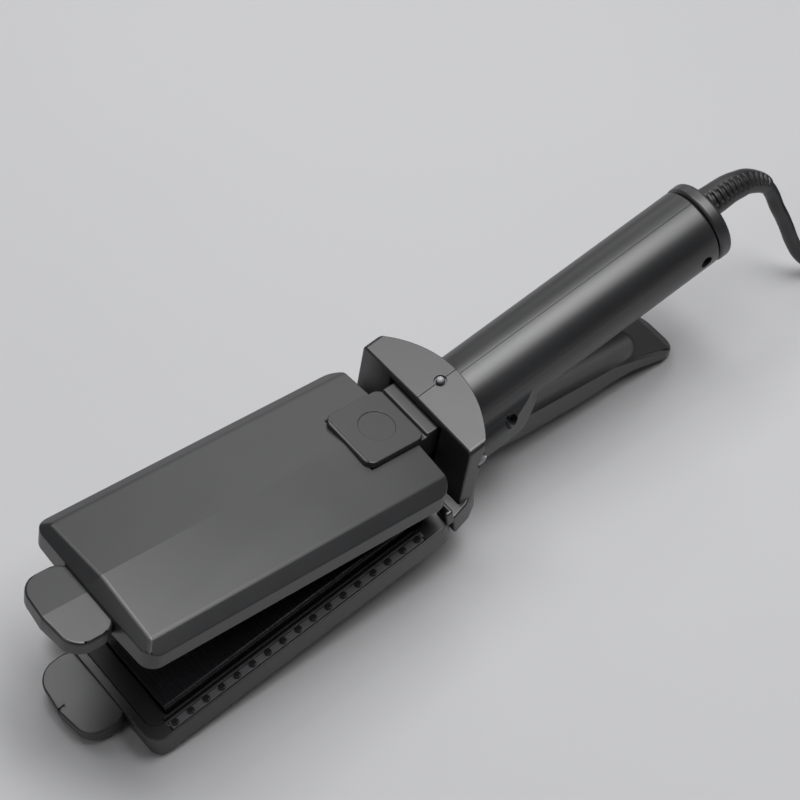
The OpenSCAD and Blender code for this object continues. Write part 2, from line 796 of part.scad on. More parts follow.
// Space in which the lever's arm swings, open through the collar's front and under the skirt.
module arm_slot() {
  slot_front = -over - (collar_top + 3.4) * tan(collar_rake);
  along_y(-slot_half, slot_half) polygon([
    [slot_front, -3.4],
    [slot_front, collar_top - handle_wall],
    [13.9, collar_top - handle_wall],
    [15, 9],
    [22, -3.6],
    [30, -7.2],
    [60, -7.2],
    [60, -60],
    [11, -60],
    [9.3, -19.6],
    [3.6, -8.6],
    [1.4, -3.4]
  ]);
}
module screw_boss(x, z) {
  cross_bar(x, z, boss_r, -30, 30);
}
module handle_form() {
  rotate([0, 90, 0]) translate([0, 0, 12]) cylinder(r = handle_r, h = shell_rear - 12, $fn = 128);
  collar_form(0);
  chin_form(0);
  skirt_form();
}
module handle_body() {
  difference() {
    handle_form();
    difference() {
      union() {
        rotate([0, 90, 0]) translate([0, 0, 13]) cylinder(r = bore_r, h = shell_rear, $fn = 128);
        difference() {
          collar_form(handle_wall);
          both_sides() {
            translate([-20, slot_half, -40]) cube([60, ear_t, 80]);
          }
        }
        chin_form(handle_wall);
      }
      screw_boss(screw_front_x, screw_front_z);
      screw_boss(screw_rear_x, 0);
      for (x = [46, screw_rear_x - 18]) {
        handle_rib(x);
      }
    }
    difference() {
      arm_slot();
      screw_boss(screw_front_x, screw_front_z);
    }
    cross_bar(pin_x, pin_z, pin_d / 2 + 0.02, -40, 40);
    both_sides() {
      cross_bar(pin_x, pin_z, head_d / 2 + 0.1, pin_end, 40);
    }
    translate([lamp_x, 0, collar_top - 3.4]) cylinder(d = lamp_d + 0.06, h = 5);
    translate([lamp_x, 0, collar_top - 0.2]) cylinder(d = lamp_d + 1.6, h = 2);
    cross_bar(screw_front_x, screw_front_z, 2.9, -40, -15.2);
    cross_bar(screw_front_x, screw_front_z, 1.3, -40, 13);
    cross_bar(screw_rear_x, 0, 2.6, -40, -11);
    cross_bar(screw_rear_x, 0, 1.3, -40, 9);
    for (s = [-1, 1]) {
      translate([jaw_screw_x, s * jaw_screw_y, collar_bottom - over]) {
        cylinder(r = 2.7, h = over + 1.2);
        cylinder(r = 1.45, h = 6);
      }
    }
  }
  translate([pin_x + 4.6, slot_half - 1.1, pin_z - 1.4]) cube([3, 1.6, 2]);
}
// Ring rib in the bore, with a slot for the control board's edges.
module handle_rib(x) {
  rotate([0, 90, 0]) translate([0, 0, x]) difference() {
    cylinder(r = bore_r + 1, h = 2);
    translate([0, 0, -1]) cylinder(r = 8.5, h = 4);
    translate([-board_t - 0.1, -board_half - 0.1, -1]) cube([board_t + 0.2, 2 * board_half + 0.2, 4]);
  }
}
module half_space(side) {
  translate([-100, side > 0 ? 0 : -100, -100]) cube([400, 100, 200]);
}
module handle_shell_near() {
  color("#2a2b2e") intersection() {
    handle_body();
    half_space(-1);
  }
}
module handle_shell_far() {
  color("#242528") intersection() {
    handle_body();
    half_space(1);
  }
}

module tail_cap() {
  color("#2f3033") rotate([0, 90, 0]) difference() {
    union() {
      translate([0, 0, cap_front]) rotate_extrude($fn = 128) {
        square([handle_r + 0.3 - 1.5, cap_len]);
        translate([0, 1.5]) square([handle_r + 0.3, cap_len - 3]);
        for (z = [1.5, cap_len - 1.5]) {
          translate([handle_r + 0.3 - 1.5, z]) circle(r = 1.5);
        }
      }
      translate([0, 0, cap_front - 3.4]) cylinder(r = bore_r - 0.1, h = 4, $fn = 128);
    }
    translate([0, 0, cap_front - 4]) cylinder(r = cap_bore_r, h = 4 + cap_len - 2.4, $fn = 128);
    translate([-relief_z, relief_y, cap_front]) cylinder(r = relief_d / 2 + 0.1, h = 20);
  }
}

module control_board() {
  color("#2f5d3a") {
    translate([46.5, -board_half, 0]) cube([screw_rear_x - 18 - 46.5 + 1, 2 * board_half, board_t]);
    translate([56, -6, board_t]) cube([14, 10, 6]);
    translate([76, -5, board_t]) cube([10, 9, 4.4]);
    translate([94, 0, board_t]) cylinder(d = 8, h = 8.5);
    translate([60, -4, -3]) cube([10, 7, 3]);
  }
}

module indicator_lamp() {
  color("#b8301f") translate([lamp_x, 0, collar_top - 2.4]) {
    cylinder(d = lamp_d, h = 3);
    translate([0, 0, 3]) intersection() {
      sphere(d = lamp_d);
      cylinder(d = lamp_d, h = lamp_d);
    }
  }
}

// Cross pin with a slotted head, and the cap nut on its far end.
module hinge_pin() {
  color("#a9acb0") difference() {
    union() {
      cross_bar(pin_x, pin_z, pin_d / 2, -pin_end, pin_end);
      cross_bar(pin_x, pin_z, head_d / 2, -pin_end - head_t, -pin_end);
    }
    translate([pin_x - 3, -pin_end - head_t - 1, pin_z - 0.4]) cube([6, 1.8, 0.8]);
  }
}
module hinge_nut() {
  color("#a9acb0") difference() {
    cross_bar(pin_x, pin_z, head_d / 2, pin_end, pin_end + head_t);
    translate([pin_x - 3, pin_end + head_t - 0.8, pin_z - 0.4]) cube([6, 1.8, 0.8]);
  }
}

// Torsion spring round the pin: one leg bears on the lever, the other on a stop in the far shell.
spring_y0 = spring_seat_y + 0.7;
spring_y1 = slot_half - 0.7;
function spring_point(a) = [
  pin_x + spring_r * cos(a),
  spring_y0 + (spring_y1 - spring_y0) * (a / (360 * spring_curls)),
  pin_z + spring_r * sin(a)
];
spring_path = concat(
  [for (d = [7.2, 5.2]) [pin_x + spring_r, spring_y0, pin_z] + [0, 0, -d + 2.2]],
  [for (i = [1 : spring_curls * 8]) spring_point(i * 45)],
  [for (d = [2.2, 4]) [pin_x + spring_r, spring_y1, pin_z] + [0, 0, d]]
);
module return_spring() {
  color("#9a9da1") swept(spring_path, [for (p = spring_path) spring_wire / 2], 6, [0, 1, 0]);
}

// Screws along Y that join the handle's two shells.
module shell_screw(x, z, head_y, shank_end, r) {
  difference() {
    union() {
      cross_bar(x, z, r, head_y, head_y + 1.6);
      cross_bar(x, z, 1.22, head_y + 1.5, shank_end);
    }
    for (a = [0, 90]) {
      translate([x, head_y - 1, z]) rotate([0, a, 0]) translate([-1.5, 0, -0.3]) cube([3, 1.8, 0.6]);
    }
  }
}
module handle_screws() {
  color("#8d9094") {
    shell_screw(screw_front_x, screw_front_z, -16.8, 12.5, 2.7);
    shell_screw(screw_rear_x, 0, -12.6, 8.5, 2.4);
  }
}
module jaw_screws() {
  color("#8d9094") for (s = [-1, 1]) {
    translate([jaw_screw_x, s * jaw_screw_y, collar_bottom + 1.2 - 1.4]) difference() {
      union() {
        cylinder(r = 2.5, h = 1.4);
        cylinder(r = 1.22, h = 8.6);
      }
      for (a = [0, 90]) {
        rotate([0, 0, a]) translate([-1.5, -0.3, -1]) cube([3, 0.6, 1.8]);
      }
    }
  }
}

// Squeeze lever, drawn with the jaws closed: tongue, arm, hub and a trough under the handle.
module lever_profile() {
  polygon([
    [tongue_front, 9.3],
    [tongue_front, tongue_top],
    [-8.1, tongue_top],
    [-7.6, 13.9],
    [pin_x, pin_z + hub_r - 0.1],
    [12.6, 8.5],
    [21, -5.6],
    [30, -8.6],
    [80, -9.2],
    [93, -10.4],
    [105, -13.4],
    [lever_len - 10, -19],
    [lever_len, lever_foot_z + 2.3],
    [lever_len, lever_foot_z],
    [lever_len - 10, -23],
    [105, -19],
    [95, -19.2],
    [80, -21.2],
    [45, -22],
    [30, -20.6],
    [21, -17],
    [9, -6.2],
    [pin_x - 3, pin_z - hub_r + 0.6],
    [-5, 0.6],
    [upper_rear + 0.3, 1.6],
    [upper_rear + 0.3, 9.3]
  ]);
}
module lever_trough() {
  polygon([
    [17, -9.5],
    [21, -14.2],
    [30, -18.2],
    [45, -19.8],
    [80, -19],
    [95, -17],
    [105, -16.8],
    [lever_len - 12, -20.2],
    [lever_len - 5, -22.6],
    [lever_len - 5, 20],
    [24, 20],
    [22, -5]
  ]);
}
module squeeze_lever() {
  inner = lever_half - lever_wall;
  color("#28292c") difference() {
    intersection() {
      union() {
        difference() {
          union() {
            along_y(-lever_half, lever_half) lever_profile();
            cross_bar(pin_x, pin_z, hub_r, -lever_half, lever_half);
          }
          along_y(-inner, inner) lever_trough();
        }
        for (x = [36, 54, 72, 90, 106]) {
          intersection() {
            along_y(-lever_half, lever_half) lever_profile();
            translate([x, -inner - 1, -30]) cube([1.6, 2 * inner + 2, 40]);
          }
        }
      }
      translate([0, 0, -60]) linear_extrude(120) rounded_2d(tongue_front, lever_len, lever_half, 4);
      translate([0, 0, -60]) linear_extrude(120) rounded_2d(-90, lever_len, lever_half, 9);
    }
    rotate([0, 90, 0]) translate([0, 0, 30.5]) cylinder(r = handle_r + 0.5, h = 110, $fn = 128);
    rotate([0, 90, 0]) translate([0, 0, handle_len - cap_len - 2]) cylinder(r = handle_r + 1, h = 30);
    cross_bar(pin_x, pin_z, pin_d / 2 + pin_fit, -20, 20);
    cross_bar(pin_x, pin_z, hub_pocket_r, spring_seat_y, 20);
    translate([pin_x, 0, pin_z]) rotate([0, -open_angle, 0]) {
      translate([spring_r - 0.7, spring_seat_y, -9]) cube([1.4, 20, 9]);
    }
    for (x = tongue_screw_x) {
      translate([x, 0, 0]) cylinder(r = 1.6, h = 20);
    }
  }
}

// Cap plate over the tongue, with a plain shallow round recess.
module tongue_plate() {
  color("#2d2e31") difference() {
    intersection() {
      translate([0, 0, tongue_top]) linear_extrude(tile_top - tongue_top) {
        rounded_2d(-35.2, -8.4, tile_half, 4);
      }
      along_y(-20, 20) polygon([
        [-36, tongue_top], [-36, tile_top - 0.8], [-34.2, tile_top], [-9, tile_top], [-8.4, tongue_top]
      ]);
    }
    translate([-21, 0, tile_top - 0.3]) cylinder(r = 6.8, h = 2);
    for (x = tongue_screw_x) {
      translate([x, 0, tongue_top - over]) cylinder(r = 2.8, h = 1.2 + over);
    }
  }
}
module tongue_screws() {
  color("#8d9094") for (x = tongue_screw_x) {
    translate([x, 0, tongue_top]) {
      cylinder(r = 2.5, h = 1.1);
      translate([0, 0, -7.5]) cylinder(r = 1.22, h = 8);
    }
  }
}

// Strain relief: a ribbed boot on the cord's first bend, with a flange behind the cap's wall.
relief_pitch_steps = 4;
relief_steps = relief_ribs * relief_pitch_steps;
function relief_share(i) = i / relief_steps;
function relief_at(i) = let (s = (relief_points - 1) * relief_share(i), k = min(relief_points - 2, floor(s)))
  spline_at(route, k, s - k);
function relief_r(i) =
  let (
    taper = relief_share(i) * relief_share(i),
    body = relief_d / 2 - taper * (relief_d / 2 - cord_d / 2 - 0.5)
  )
  (i % relief_pitch_steps < 2 || i > relief_steps - 2) ? body : body - 0.8;
relief_path = [for (i = [0 : relief_steps]) relief_at(i)];
relief_root = [for (d = [4.6, 2.6, 2.5, 0.02]) placed([handle_len - d, relief_y, relief_z])];
module strain_relief() {
  flange_r = min(relief_d / 2 + 0.8, cap_bore_r - 0.1 - norm([relief_y, relief_z]));
  root_r = relief_d / 2;
  color("#1d1e20") swept(
    concat(relief_root, relief_path),
    concat([flange_r, flange_r, root_r, root_r], [for (i = [0 : relief_steps]) relief_r(i)]),
    8,
    [0, 0, 1],
    last_dir = relief_exit_dir
  );
}

// Free cord from the strain relief to the coil.
lead_from = relief_points - 1;
relief_exit_dir = unit(route[relief_points] - route[relief_points - 2]);
lead_path = [for (i = [lead_from : len(route) - 3]) for (t = [0, 0.5]) raised(spline_at(route, i, t))];
function raised(p) = [p[0], p[1], max(p[2], lying_z)];
module cord_lead() {
  path = concat(lead_path, [route[len(route) - 2], route_end]);
  color("#18191b") swept(path, [for (p = path) cord_d / 2], 8, [0, 0, 1], first_dir = relief_exit_dir);
}
module cord_coil() {
  color("#18191b") swept(coil_path, [for (p = coil_path) cord_d / 2], 6, [0, 0, 1]);
}
module cord_tail() {
  bends = [for (i = [1 : len(tail) - 3]) for (t = [0, 0.5]) spline_at(tail, i, t)];
  path = concat([tail[0]], bends, [tail[len(tail) - 2], tail_end]);
  color("#18191b") swept(path, [for (p = path) cord_d / 2], 8, [0, 0, 1]);
}

// Strap round the coil where its turns lie two wide and four high.
module cord_tie() {
  middle_r = coil_outer_r - turn_step;
  reach = turn_step / 2 + cord_d / 2 + 0.45;
  bundle_h = (coil_layers - 1) * turn_step + cord_d + 0.3;
  low = coil_z - cord_d / 2 - 0.15;
  color("#111214") translate([coil_centre[0], coil_centre[1], 0]) rotate([0, 0, coil_start + 180]) {
    translate([middle_r, -tie_w / 2, low - tie_t]) difference() {
      translate([-reach - tie_t, 0, 0]) cube([2 * (reach + tie_t), tie_w, bundle_h + 2 * tie_t]);
      translate([-reach, -1, tie_t]) cube([2 * reach, tie_w + 2, bundle_h]);
    }
  }
}

// Flat two-pin mains plug lying on its face beside the coil.
module at_plug() {
  translate(tail_end) rotate([0, 0, tail_heading]) children();
}
module plug_body() {
  color("#1a1b1d") at_plug() difference() {
    union() {
      intersection() {
        translate([0, 0, -plug_t / 2]) linear_extrude(plug_t) polygon([
          [0, -5.6],
          [7, -6.6],
          [17, -13],
          [23, 0.4 - plug_w / 2],
          [plug_len - 2, -plug_w / 2],
          [plug_len, 1.6 - plug_w / 2],
          [plug_len, plug_w / 2 - 1.6],
          [plug_len - 2, plug_w / 2],
          [23, plug_w / 2 - 0.4],
          [17, 13],
          [7, 6.6],
          [0, 5.6]
        ]);
        along_y(-30, 30) polygon([
          [0, -5],
          [8, -plug_t / 2],
          [plug_len - 1, -plug_t / 2],
          [plug_len, 1 - plug_t / 2],
          [plug_len, plug_t / 2 - 1],
          [plug_len - 1, plug_t / 2],
          [8, plug_t / 2],
          [0, 5]
        ]);
      }
      both_sides() {
        translate([plug_len - 1, plug_pin_gap / 2, 0]) rotate([0, 90, 0]) cylinder(r = 1.9, h = 11);
      }
    }
    both_sides() {
      translate([plug_len - 12, plug_pin_gap / 2, 0]) rotate([0, 90, 0]) cylinder(r = 1.5, h = 30);
    }
  }
}
module plug_pins() {
  color("#c9a765") at_plug() both_sides() {
    translate([plug_len - 12, plug_pin_gap / 2, 0]) rotate([0, 90, 0]) {
      cylinder(r = 1.48, h = 22.5);
      translate([0, 0, 22.1]) cylinder(r = 2, h = 12 + plug_pin_len - 22.1 - 2);
      translate([0, 0, 12 + plug_pin_len - 2]) sphere(r = 2);
    }
  }
}

place() handle_shell_near();
place() handle_shell_far();
place() tail_cap();
strain_relief();
place() hinge_pin();
place() hinge_nut();
place() return_spring();
place() handle_screws();
place() jaw_screws();
place() indicator_lamp();
place() control_board();
place() lower_jaw_base();
place() lower_plate_carrier();
place() lower_plate();
place() lower_heater();
place() lower_heater_clamp();
place() lower_tray_screws();
place() thermal_fuse();
place() comb_strip_near();
place() comb_strip_far();
place() rest_feet();
place() opened() squeeze_lever();
place() opened() tongue_plate();
place() opened() tongue_screws();
place() opened() upper_jaw_cover();
place() opened() upper_plate_carrier();
place() opened() upper_plate();
place() opened() upper_heater();
place() opened() upper_heater_clamp();
place() opened() upper_tray_screws();
cord_lead();
cord_coil();
cord_tail();
cord_tie();
plug_body();
plug_pins();
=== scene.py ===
"""A hair straightener of black moulded plastic, resting half open on its feet and squeeze lever.

The jaws' tips point along -X, the handle's tail along +X, +Z is up and lengths are metres. The
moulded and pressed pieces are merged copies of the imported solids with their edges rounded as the
mould leaves them; the mains cord, strain relief, return spring and lever's saddle are surfaces
worked out here. Shapes of the leaning body are drawn in the handle's own frame, in millimetres,
and leaned to rest.
"""
import math

import bmesh
import bpy
import numpy as np
from mathutils import Matrix, Vector


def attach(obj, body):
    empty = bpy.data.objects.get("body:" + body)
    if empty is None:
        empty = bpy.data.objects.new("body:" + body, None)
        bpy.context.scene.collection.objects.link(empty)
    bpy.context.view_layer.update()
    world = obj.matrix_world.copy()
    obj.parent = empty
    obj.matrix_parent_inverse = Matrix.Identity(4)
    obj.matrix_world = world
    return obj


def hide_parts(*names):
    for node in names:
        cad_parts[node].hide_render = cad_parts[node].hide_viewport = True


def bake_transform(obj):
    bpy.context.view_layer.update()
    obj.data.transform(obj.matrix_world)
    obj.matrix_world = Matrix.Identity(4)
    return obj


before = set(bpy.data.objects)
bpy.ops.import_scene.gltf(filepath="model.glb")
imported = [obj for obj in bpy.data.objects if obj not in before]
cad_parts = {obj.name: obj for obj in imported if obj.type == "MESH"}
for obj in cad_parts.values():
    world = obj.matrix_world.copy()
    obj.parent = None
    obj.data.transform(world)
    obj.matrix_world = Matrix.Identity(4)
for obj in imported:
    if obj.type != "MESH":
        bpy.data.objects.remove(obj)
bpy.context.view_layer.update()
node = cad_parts
MM = 0.001

# Camera: a long lens from beyond the jaw tips, on the near side, looking down on the upper jaw.
# It leans a few degrees, as the photograph does.
CAMERA_PLACE = Vector((-0.37324, -0.39756, 0.78732))
CAMERA_AIM = Vector((0.01703, 0.03716, 0.0))
CAMERA_ROLL = math.radians(3.559)
LENS = 112.84

camera_data = bpy.data.cameras.new("camera")
camera_data.lens = LENS
camera_data.sensor_width = 36
camera_data.clip_start = 0.01
camera = bpy.data.objects.new("camera", camera_data)
bpy.context.scene.collection.objects.link(camera)
camera.location = CAMERA_PLACE
look = (CAMERA_AIM - CAMERA_PLACE).to_track_quat("-Z", "Y").to_matrix()
camera.rotation_euler = (look @ Matrix.Rotation(CAMERA_ROLL, 3, "Z")).to_euler()
bpy.context.scene.camera = camera

# Mains cord: a round two-core lead in black PVC, 1.8 m long, with a moulded flat plug. It leaves the
# tail, bends down to the surface and is wound into a neat coil of two by four turns under a strap.
REST_TILT = math.radians(7.807641)
REST_LIFT = 41.715305
REST_SHIFT = -5.8
CORD_D = 6.0
CORD_EXIT = (141, 3.4, 2.5)
CORD_STEPS = [
    (0, 0, 1), (7, -0.5, 1.015), (14.5, -0.5, 1.025), (19.5, -1, 1.025), (24.5, -1.5, 1.01),
    (31, -3, 0.95), (34.5, -4, 0.885), (37.5, -5, 0.795), (40, -7, 0.67), (43, -8.5, 0.555),
    (45.5, -10.5, 0.435), (48, -12, 0.315), (51.5, -14.5, 0.18), (56.5, -17.5, 0.075),
    (64, -22, 0.015), (72.5, -27, 0), (84, -33.5, 0), (96, -40.5, 0.012), (108, -47.5, 0.014),
]
TAIL_STEPS = [(0, 1), (6, 1), (12, 0.96), (20, 0.8), (28, 0.5), (36, 0.2), (44, 0.04), (51, 0), (57, 0)]
COIL_R = 37.5
COIL_STEP = CORD_D + 0.7
COIL_LAYERS = 4
TURNS_A_LAYER = 2
COIL_END_TURN = 1 / 6
PLUG_T = 13.7
LEAD_POINTS_A_STEP = 8
TAIL_POINTS_A_STEP = 6
COIL_POINTS = 560
CORD_SIDES = 20


def placed(points):
    """Points of the handle's frame, in mm, turned about Y by the rest tilt, lifted, in metres."""
    p = np.asarray(points, float)
    x = p[..., 0] * math.cos(REST_TILT) - p[..., 2] * math.sin(REST_TILT) + REST_SHIFT
    z = p[..., 0] * math.sin(REST_TILT) + p[..., 2] * math.cos(REST_TILT) + REST_LIFT
    return np.stack([x, p[..., 1], z], axis=-1) * MM


def smooth_path(points, between):
    """A Catmull-Rom curve through the points: each stretch is the cubic that meets its
    neighbours' slopes, read at `between` even steps."""
    p = np.vstack([points[:1], points, points[-1:]])
    t = np.linspace(0, 1, between, endpoint=False)[:, None]
    a, b, c, d = p[:-3, None], p[1:-2, None], p[2:-1, None], p[3:, None]
    square, cube = 2 * a - 5 * b + 4 * c - d, 3 * b - a - 3 * c + d
    curve = 0.5 * (2 * b + (c - a) * t + square * t**2 + cube * t**3)
    return np.vstack([curve.reshape(-1, 3), points[-1:]])


def step_up(x, low, high):
    """0 below low, 1 above high, and an eased cubic between them."""
    t = np.clip((x - low) / (high - low), 0, 1)
    return t * t * (3 - 2 * t)


def unit(v):
    """Each vector divided by its own length."""
    return v / np.linalg.norm(v, axis=-1, keepdims=True)


def coil_path(start, heading, turns, steps):
    """A spiral that winds in and out at a steady rate, two turns a layer, and climbs one layer on
    an eased step in the half turn round each reversal. It starts at `start` and first runs along
    `heading`. Gives its points and the heading it ends with."""
    u = np.linspace(0, turns, steps)
    layer = np.minimum(COIL_LAYERS - 1, u // TURNS_A_LAYER)
    phase = u - TURNS_A_LAYER * layer
    inward = layer % 2 == 0
    radius = COIL_R - COIL_STEP * np.where(inward, phase, TURNS_A_LAYER - phase)
    reversals = TURNS_A_LAYER * np.arange(1, COIL_LAYERS)
    height = COIL_STEP * step_up(u[:, None], reversals - 0.25, reversals + 0.25).sum(axis=1)
    first = heading - math.pi / 2
    centre = start - COIL_R * np.array([math.cos(first), math.sin(first), 0])
    angle = first + 2 * math.pi * u
    ring = np.stack([radius * np.cos(angle), radius * np.sin(angle), height], axis=1)
    return centre + ring, angle[-1] + math.pi / 2


def tube(name, path, radii, sides, up=(0.0, 0.31, 1.0)):
    """A round tube: rings of `sides` points square to the path, each point at its radius from the
    path's. A ring's first point is on the side of `up` at the start, and each ring is turned from
    the one before by the least angle. Radii may differ round a ring."""
    tangent = unit(np.gradient(path, axis=0))
    normal = np.zeros_like(path)
    normal[0] = unit(np.array(up) - tangent[0] * np.dot(tangent[0], up))
    for i in range(1, len(path)):
        n = normal[i - 1] - tangent[i] * np.dot(normal[i - 1], tangent[i])
        normal[i] = n / np.linalg.norm(n)
    side = np.cross(tangent, normal)
    turn = np.linspace(0, 2 * math.pi, sides, endpoint=False)
    round_dir = normal[:, None] * np.cos(turn)[None, :, None] + side[:, None] * np.sin(turn)[None, :, None]
    reach = np.asarray(radii, float).reshape(len(np.atleast_1d(radii)), -1)
    reach = np.broadcast_to(reach, (len(path), sides))
    return grid_mesh(name, path[:, None] + reach[..., None] * round_dir)


def run_length(points):
    """The length run along a line of points, up to each point."""
    return np.concatenate([[0], np.cumsum(np.linalg.norm(np.diff(points, axis=0), axis=1))])


def grid_mesh(name, grid):
    """A closed mesh on a grid of points. Each row is a ring, joined to the next by four-sided
    faces, and one many-sided face closes the first and the last ring. The UV map's u is the
    length along, in metres, and its v the share round."""
    rows, cols = grid.shape[:2]
    i, j = np.meshgrid(np.arange(rows - 1), np.arange(cols), indexing="ij")
    k = (j + 1) % cols
    corners = [i * cols + j, i * cols + k, (i + 1) * cols + k, (i + 1) * cols + j]
    quads = np.stack(corners, axis=-1).reshape(-1, 4)
    ends = [list(range(cols))[::-1], [(rows - 1) * cols + c for c in range(cols)]]
    mesh = bpy.data.meshes.new(name)
    mesh.from_pydata(grid.reshape(-1, 3).tolist(), [], quads.tolist() + ends)
    mesh.update()
    along = run_length(grid.mean(axis=1))
    loops = np.empty(len(mesh.loops), dtype=np.int32)
    mesh.loops.foreach_get("vertex_index", loops)
    share = (loops % cols) / cols
    corner = np.arange(quads.size) % 4
    closes_ring = (loops[: quads.size] % cols == 0) & np.isin(corner, [1, 2])
    share[: quads.size] += closes_ring
    uv = mesh.uv_layers.new(name="UVMap")
    uv.data.foreach_set("uv", np.stack([along[loops // cols], share], axis=1).astype(np.float32).ravel())
    mesh.polygons.foreach_set("use_smooth", [True] * len(mesh.polygons))
    piece = bpy.data.objects.new(name, mesh)
    bpy.context.scene.collection.objects.link(piece)
    return piece


class Wire:
    """One socket of a material's nodes. Arithmetic on it adds Math nodes."""

    def __init__(self, finish, socket):
        self.finish = finish
        self.socket = socket

    def math(self, operation, *values):
        """One Math node on the values or links."""
        return self.finish.node("ShaderNodeMath", {"operation": operation}, values)

    def __add__(self, other):
        return self.math("ADD", self, other)

    def __radd__(self, other):
        return self.math("ADD", other, self)

    def __sub__(self, other):
        return self.math("SUBTRACT", self, other)

    def __rsub__(self, other):
        return self.math("SUBTRACT", other, self)

    def __mul__(self, other):
        return self.math("MULTIPLY", self, other)

    def __rmul__(self, other):
        return self.math("MULTIPLY", other, self)

    def band(self, low, high):
        """0 below low, 1 above high, smooth between."""
        settings = {"interpolation_type": "SMOOTHSTEP"}
        values = {"Value": self, "From Min": low, "From Max": high}
        return self.finish.node("ShaderNodeMapRange", settings, values)


class Finish:
    """A material in the making: its nodes, and the Principled shader they feed."""

    def __init__(self, name):
        self.material = bpy.data.materials.new(name)
        self.material.use_nodes = True
        self.tree = self.material.node_tree
        self.skin = self.tree.nodes["Principled BSDF"]

    def node(self, kind, settings=None, values=(), output=0):
        """Adds one node: settings first, then values or links for its sockets by order or name."""
        made = self.tree.nodes.new(kind)
        for key, value in (settings or {}).items():
            setattr(made, key, value)
        pairs = values.items() if isinstance(values, dict) else enumerate(values)
        for key, value in pairs:
            if isinstance(value, Wire):
                self.tree.links.new(value.socket, made.inputs[key])
            else:
                made.inputs[key].default_value = value
        return Wire(self, made.outputs[output])

    def place(self):
        """The point's place in the object's own coordinates, in metres."""
        return self.node("ShaderNodeTexCoord", output="Object")

    def noise(self, scale, detail=2.0, stretch=None, roughness=0.5):
        """Noise with features of about 1/scale metres; stretch scales each axis first."""
        at = self.place()
        if stretch:
            at = self.node("ShaderNodeMapping", {}, {"Vector": at, "Scale": stretch})
        values = {"Vector": at, "Scale": scale, "Detail": detail, "Roughness": roughness}
        return self.node("ShaderNodeTexNoise", {}, values)

    def mix(self, share, a, b):
        """Colour a where share is 0 and b where it is 1. A Mix node takes them at its inputs 0, 6
        and 7, and gives their colour at its output 2."""
        made = self.tree.nodes.new("ShaderNodeMix")
        made.data_type = "RGBA"
        for socket, value in ((made.inputs[0], share), (made.inputs[6], a), (made.inputs[7], b)):
            if isinstance(value, Wire):
                self.tree.links.new(value.socket, socket)
            else:
                socket.default_value = value
        return Wire(self, made.outputs[2])

    def bump(self, height, distance, strength=1.0):
        """A surface that rises by `distance` metres from height 0 to height 1."""
        values = {"Height": height, "Distance": distance, "Strength": strength}
        return self.node("ShaderNodeBump", {}, values)

    def feed(self, **sockets):
        """Sets or links the Principled shader's sockets; Base_Color stands for Base Color."""
        for key, value in sockets.items():
            socket = self.skin.inputs[key.replace("_", " ")]
            if isinstance(value, Wire):
                self.tree.links.new(value.socket, socket)
            else:
                socket.default_value = value
        return self.material


def cord_pvc():
    """Satin black PVC: faint draw lines along the cord and a soft mottle where it has been handled."""
    f = Finish("cord_pvc")
    uv = f.node("ShaderNodeTexCoord", output="UV")
    lines = f.node("ShaderNodeMapping", {}, {"Vector": uv, "Scale": (6, 26, 1)})
    draw = f.node("ShaderNodeTexNoise", {}, {"Vector": lines, "Scale": 1.0, "Detail": 3.0})
    mottle = f.noise(90, 3)
    colour = f.mix(mottle.band(0.35, 0.7), (0.013, 0.013, 0.014, 1), (0.024, 0.024, 0.026, 1))
    normal = f.bump(draw + 0.3 * mottle, 0.00008)
    return f.feed(Base_Color=colour, Roughness=0.36 + 0.16 * mottle, Normal=normal)


def paint(piece, material):
    """Gives the piece one material, in place of any it has."""
    piece.data.materials.clear()
    piece.data.materials.append(material)


# Limits for the rounded copies, in mm: points that are one, edges that lie on the seam, tiny edges
# left over by cuts that nearly meet, the clear space round a screw's hole, and the least gap
# between two edges. Then angles, and shares of the room that a rounding may take.
SAME_POINT, ON_SEAM, CRUMB, HOLE_CLEAR, LEAST_GAP = 0.002, 0.02, 0.22, 4, 0.01
FLAT_ANGLE, CREASE_ANGLE = math.radians(0.1), math.radians(8)
OUTER_ANGLE, RUN_ON_ANGLE = math.radians(28), math.radians(40)
BESIDE_COSINE, BESIDE_OVERLAP = 0.82, 0.2
SIDE_SHARE, SLIDE_SHARE, TURN_SHARE = 0.42, 0.8, 0.85
NO_LIMIT, TINY = 1000, 1e-9
EDGES_AT_ONCE = 300


def side_room(start, end):
    """For each edge, its distance from the nearest edge that runs beside it: the two are within
    35 degrees of parallel and, seen square to the first, overlap by a fifth of the shorter."""
    run = end - start
    length = np.linalg.norm(run, axis=1)
    heading = run / length[:, None]
    room = np.empty(len(start))
    for part in np.array_split(np.arange(len(start)), len(start) // EDGES_AT_ONCE + 1):
        ahead = heading[part, None]
        a, b = start - start[part, None], end - start[part, None]
        reach = np.sort(np.stack([(a * ahead).sum(-1), (b * ahead).sum(-1)]), axis=0)
        overlap = np.minimum(reach[1], length[part, None]) - np.maximum(reach[0], 0)
        middle = (a + b) / 2
        gap = np.linalg.norm(middle - ahead * (middle * ahead).sum(-1, keepdims=True), axis=-1)
        beside = np.abs((heading * ahead).sum(-1)) > BESIDE_COSINE
        beside &= overlap > BESIDE_OVERLAP * np.minimum(length, length[part, None])
        beside &= gap > LEAST_GAP * MM
        room[part] = np.where(beside, gap, NO_LIMIT * MM).min(axis=1)
    return room


def slide_room(spot, ties, crisp):
    """For each sharp edge, the shortest soft edge at its ends, along which its rounding slides."""
    soft = ties[~crisp]
    length = np.linalg.norm(spot[soft[:, 0]] - spot[soft[:, 1]], axis=1)
    shortest = np.full(len(spot), NO_LIMIT * MM)
    np.minimum.at(shortest, soft.ravel(), np.repeat(length, 2))
    return shortest[ties[crisp]].min(axis=1)


